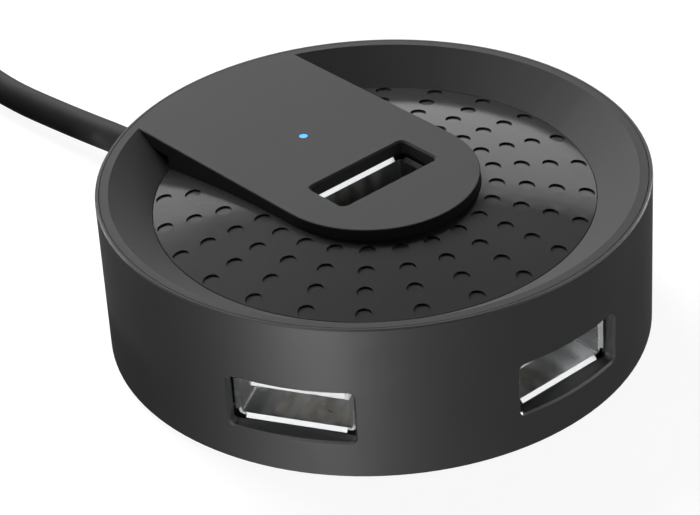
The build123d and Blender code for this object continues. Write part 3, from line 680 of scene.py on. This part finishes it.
@dataclass
class Lead:
    """The lead from the drum to its plug, with the put-away length in a tied coil."""

    diameter: float = 3.8 * MM
    leaving: Vector = field(default_factory=lambda: Vector((0.0, 31.0, 4.6)) * MM)
    out: tuple[tuple[float, float, float], ...] = (
        (0.0, 23.5, 4.6),
        (0.0, 43.5, 4.6),
        (-0.2, 57.0, 2.9),
        (-1.4, 73.0, 2.4),
        (1.5, 89.0, 2.4),
    )
    coil_middle: tuple[float, float] = (-23.2, 98.0)
    outer_turn: float = 24.7
    inner_turn: float = 17.1
    last_turn: float = 22.8
    lower: float = 2.4
    upper: float = 6.2
    lower_turns: float = 2.0
    upper_turns: float = 1.5
    steps: int = 16
    hop: float = 0.13
    tail: tuple[tuple[float, float, float], ...] = (
        (-46.0, 93.0, 6.2),
        (-46.0, 86.0, 6.2),
        (-46.0, 77.0, 3.9),
        (-46.0, 71.0, 3.9),
    )
    length: float = 0.553
    jacket: ExtrudedPvc = ExtrudedPvc("lead_pvc_finish")

    def coil(self) -> list[Vector]:
        """The coil's points: a layer that winds inwards and one on it that winds back out.

        Returns:
            The points, in metres.
        """
        step = 2 * pi / self.steps
        drawn_in = 0.75 + 0.25 * cos(step)
        count = round((self.lower_turns + self.upper_turns) * self.steps)
        points = []
        for number in range(count + 1):
            turns = number / self.steps
            if turns <= self.lower_turns:
                share = turns / self.lower_turns
                radius = self.outer_turn + share * (self.inner_turn - self.outer_turn)
                height = self.lower
            else:
                share = (turns - self.lower_turns) / self.upper_turns
                radius = self.inner_turn + share * (self.last_turn - self.inner_turn)
                rise = min(1.0, (turns - self.lower_turns) / self.hop)
                height = self.lower + rise * (self.upper - self.lower)
            angle = number * step
            x = self.coil_middle[0] + radius / drawn_in * cos(angle)
            y = self.coil_middle[1] + radius / drawn_in * sin(angle)
            points.append(Vector((x, y, height)) * MM)
        return points

    def build(self) -> bpy.types.Object:
        """Lays the lead along its route and dresses it.

        Returns:
            The lead.
        """
        route = [Vector(p) * MM for p in self.out] + self.coil() + [Vector(p) * MM for p in self.tail]
        line = bpy.data.curves.new("lead", "CURVE")
        line.dimensions = "3D"
        run = line.splines.new("NURBS")
        run.points.add(len(route) - 1)
        for place, point in zip(run.points, route):
            place.co = (*point, 1.0)
        run.order_u = 3
        run.use_endpoint_u = True
        run.resolution_u = 8
        line.bevel_depth = self.diameter / 2
        line.bevel_resolution = 8
        line.use_fill_caps = True
        line.materials.append(self.jacket.make())
        lead = bpy.data.objects.new("lead", line)
        bpy.context.scene.collection.objects.link(lead)
        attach(lead, "root")
        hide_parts("usb_lead", "lead_coil", "lead_tail")
        log.info("laid the lead through %d points", len(route))
        return lead


@dataclass
class LeadFittings:
    """The gland, the cores inside the drum, the tie round the coil and the plug."""

    grip: TexturedMoulding = TexturedMoulding("grip_pvc_finish", (0.02, 0.02, 0.021), 0.55)
    tie: PlainPart = PlainPart("tie_nylon", (0.03, 0.03, 0.032), 0.6)
    steel: PressedSteel = PressedSteel("plug_steel_finish", roughness=0.24)
    insulator: PlainPart = PlainPart("plug_insulator_finish", (0.72, 0.72, 0.7), 0.4)

    def build(self, contact: bpy.types.Material) -> None:
        """Dresses the pieces.

        Args:
            contact: the plating of the plug's contacts.
        """
        grip = self.grip.make()
        dress("cable_gland", grip)
        dress("plug_grip", grip)
        dress("inner_wires", CoreColours("core_insulation").make())
        dress("coil_tie", self.tie.make())
        dress("plug_shell", self.steel.make())
        dress("plug_insulator", self.insulator.make())
        dress("plug_contacts", contact)


@dataclass(frozen=True)
class Softbox:
    """One soft light, placed round the object by azimuth from the camera's side."""

    name: str
    azimuth: float
    elevation: float
    width: float
    height: float
    power: float
    distance: float = 0.6
    reach: Reach = Reach.ALL

    def build(self, heading: float) -> None:
        """Makes the light, facing the object.

        Args:
            heading: the azimuth of the camera in the row frame, in degrees.
        """
        turn = radians(self.azimuth + heading)
        rise = radians(self.elevation)
        away = Vector((sin(turn) * cos(rise), -cos(turn) * cos(rise), sin(rise)))
        light = bpy.data.lights.new(self.name, "AREA")
        light.shape = "RECTANGLE"
        light.size = self.width
        light.size_y = self.height
        light.energy = self.power
        lamp = bpy.data.objects.new(self.name, light)
        lamp.location = Vector((0, 0, LIGHT_HEIGHT)) + away * self.distance
        lamp.rotation_mode = "QUATERNION"
        lamp.rotation_quaternion = away.to_track_quat("Z", "Y")
        lamp.visible_glossy = self.reach is not Reach.MATT
        lamp.visible_diffuse = self.reach is not Reach.MIRROR
        bpy.context.scene.collection.objects.link(lamp)


@dataclass
class Studio:
    """A pale floor, a pale backdrop and soft lights."""

    heading: float = -40.0
    floor_size: float = 6.0
    ambient: float = 0.04
    lights: tuple[Softbox, ...] = (
        Softbox("key", -148, 37, 0.4, 0.4, 8.9, 0.7, Reach.MATT),
        Softbox("behind", 180, 22, 1.0, 0.35, 1.6, 0.8),
        Softbox("overhead", 180, 62, 1.2, 0.9, 0.8, 1.0),
        Softbox("left_high", -48, 52, 0.4, 0.4, 0.8, 0.8, Reach.MIRROR),
        Softbox("right_high", 85, 40, 0.4, 0.4, 0.8, 0.8, Reach.MIRROR),
        Softbox("front_fill", 0, 0, 0.6, 0.018, 3.5, 0.6, Reach.MATT),
        Softbox("front_strip", -24, 0, 0.08, 0.018, 19.0, 0.6, Reach.MIRROR),
        Softbox("right_strip", 112, 0, 0.4, 0.018, 6.0, 0.6, Reach.MIRROR),
        Softbox("left_strip", -120, 0, 0.2, 0.018, 3.5, 0.6, Reach.MIRROR),
    )

    def plane(self, name: str, width: float, height: float, place: Matrix, paint: bpy.types.Material) -> Any:
        """A painted rectangle.

        Args:
            name: its name.
            width: its width.
            height: its height.
            place: where it stands.
            paint: its finish.

        Returns:
            The object.
        """
        mesh = bpy.data.meshes.new(name)
        corners = [(x * width / 2, y * height / 2, 0) for x, y in ((-1, -1), (1, -1), (1, 1), (-1, 1))]
        mesh.from_pydata(corners, [], [(0, 1, 2, 3)])
        mesh.materials.append(paint)
        sheet = bpy.data.objects.new(name, mesh)
        sheet.matrix_world = place
        bpy.context.scene.collection.objects.link(sheet)
        return sheet

    def build(self) -> None:
        """Sets up the floor, the backdrop, the lights and the background light."""
        paint = StudioPaint("floor_paint", (0.14, 0.14, 0.14), glow=0.92).make()
        floor = self.plane("floor", self.floor_size, self.floor_size, Matrix.Identity(4), paint)
        floor.visible_glossy = False
        floor.visible_diffuse = False
        turn = Matrix.Rotation(radians(self.heading), 4, "Z")
        back = turn @ Matrix.Translation((0, self.floor_size / 2, 0)) @ Matrix.Rotation(pi / 2, 4, "X")
        pale = StudioPaint("backdrop_paint", glow=1.0).make()
        wall = self.plane("backdrop", self.floor_size, self.floor_size, back, pale)
        wall.visible_glossy = False
        wall.visible_diffuse = False
        for light in self.lights:
            light.build(self.heading)
        world = bpy.data.worlds.new("studio")
        world.use_nodes = True
        background = world.node_tree.nodes["Background"]
        background.inputs["Color"].default_value = (1.0, 1.0, 1.0, 1.0)
        background.inputs["Strength"].default_value = self.ambient
        scene = bpy.context.scene
        scene.world = world
        scene.view_settings.view_transform = "Standard"
        scene.view_settings.look = "None"
        log.info("lit the studio with %d softboxes", len(self.lights))


@dataclass
class Viewpoint:
    """The camera, placed about the middle of the drum's top."""

    heading: float = -40.0
    dip: float = 32.892
    roll: float = -3.519
    distance: float = 312.32 * MM
    across: float = 2.556 * MM
    up: float = 9.441 * MM
    lens: float = 144.385
    sensor: float = 36.0
    nearest: float = 10 * MM

    def build(self) -> None:
        """Makes the camera and looks through it."""
        low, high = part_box("top_cover")
        aim = Vector((0, 0, high.z))
        turn = Matrix.Rotation(radians(self.heading), 3, "Z")
        tilt = Matrix.Rotation(radians(90 - self.dip), 3, "X")
        roll = Matrix.Rotation(radians(self.roll), 3, "Z")
        facing = turn @ tilt @ roll
        offset = facing @ Vector((-self.across, -self.up, self.distance))
        data = bpy.data.cameras.new("camera")
        data.lens = self.lens
        data.sensor_width = self.sensor
        data.clip_start = self.nearest
        camera = bpy.data.objects.new("camera", data)
        camera.matrix_world = Matrix.Translation(aim + offset) @ facing.to_4x4()
        bpy.context.scene.collection.objects.link(camera)
        bpy.context.scene.camera = camera
        log.info("camera at %s", tuple(round(x, 4) for x in camera.location))


def main() -> None:
    """Builds the camera, the lead, the rest of the hub and the studio."""
    logging.basicConfig(level=logging.INFO, format="%(name)s: %(message)s")
    Viewpoint().build()
    Lead().build()
    contact = WornPlating("contact_plating").make()
    blade = PlainPart("blade_nylon", (0.8, 0.8, 0.8), 0.4, grain=0.15 * MM)
    insulator = blade.make()
    for side, turn in (("left", -60.0), ("front", 0.0), ("right", 60.0), ("top", 0.0)):
        Socket(side, turn, insulator, contact).build()
    Housing().build()
    Board().build()
    Fixings().build()
    LeadFittings().build(contact)
    Studio().build()


if __name__ == "__main__":
    main()
